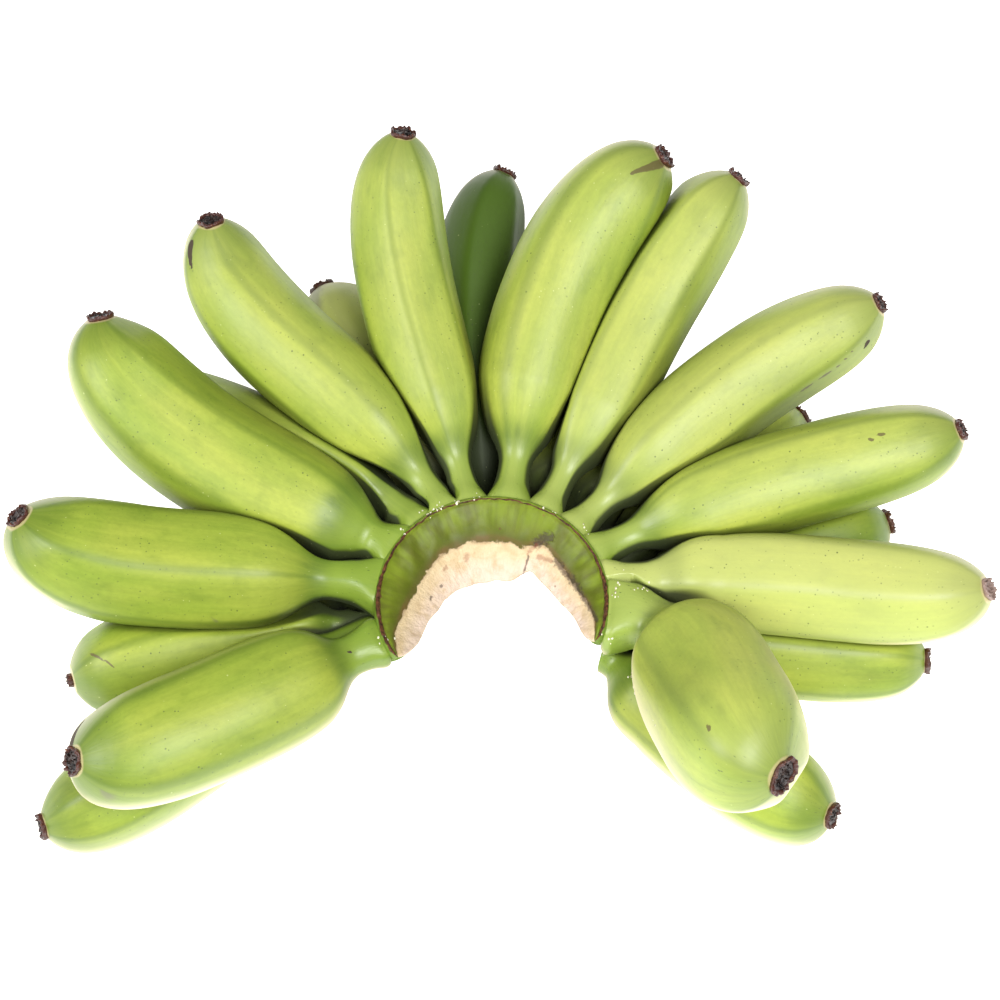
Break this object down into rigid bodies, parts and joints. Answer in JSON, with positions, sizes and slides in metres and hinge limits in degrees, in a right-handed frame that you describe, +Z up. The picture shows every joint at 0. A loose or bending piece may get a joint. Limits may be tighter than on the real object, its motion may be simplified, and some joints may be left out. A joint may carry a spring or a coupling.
{
  "type": "hand of green plantains",
  "caption": "Hand of short, plump green plantains lying down: an upper and a lower row of fingers fan out round a crescent crown with a bare knife cut, each with a dried flower end.",
  "frame": {"origin": "middle of the hand's outline, on the surface that it lies on", "axes": "+Z up from the surface, which is the shortest extent; +X across the fan, which is the longest extent; the crown's open side faces -Y and the middle fingers point to +Y"},
  "size_m": [0.317, 0.2504, 0.0897],
  "materials": {
    "peel": "satin, waxy green peel with soft ridges and fine specks",
    "crown_skin": "mottled olive-green skin, with a pale cream knife cut and a brown scar line",
    "dried_flower": "dry, brittle, dark brown"
  },
  "bodies": {
    "root": {"crown": "crown_skin", "finger_upper_01": "peel", "flower_end_upper_01": "dried_flower", "finger_upper_02": "peel", "flower_end_upper_02": "dried_flower", "finger_upper_03": "peel", "flower_end_upper_03": "dried_flower", "finger_upper_04": "peel", "flower_end_upper_04": "dried_flower", "finger_upper_05": "peel", "flower_end_upper_05": "dried_flower", "finger_upper_06": "peel", "flower_end_upper_06": "dried_flower", "finger_upper_07": "peel", "flower_end_upper_07": "dried_flower", "finger_upper_08": "peel", "flower_end_upper_08": "dried_flower", "finger_upper_09": "peel", "flower_end_upper_09": "dried_flower", "finger_upper_10": "peel", "flower_end_upper_10": "dried_flower", "finger_upper_11": "peel", "flower_end_upper_11": "dried_flower", "finger_lower_01": "peel", "flower_end_lower_01": "dried_flower", "finger_lower_02": "peel", "flower_end_lower_02": "dried_flower", "finger_lower_03": "peel", "flower_end_lower_03": "dried_flower", "finger_lower_04": "peel", "flower_end_lower_04": "dried_flower", "finger_lower_05": "peel", "flower_end_lower_05": "dried_flower", "finger_lower_06": "peel", "flower_end_lower_06": "dried_flower", "finger_lower_07": "peel", "flower_end_lower_07": "dried_flower", "finger_lower_08": "peel", "flower_end_lower_08": "dried_flower", "finger_lower_09": "peel", "flower_end_lower_09": "dried_flower", "finger_lower_10": "peel", "flower_end_lower_10": "dried_flower", "finger_lower_11": "peel", "flower_end_lower_11": "dried_flower", "finger_lower_12": "peel", "flower_end_lower_12": "dried_flower"}
  },
  "joints": []
}
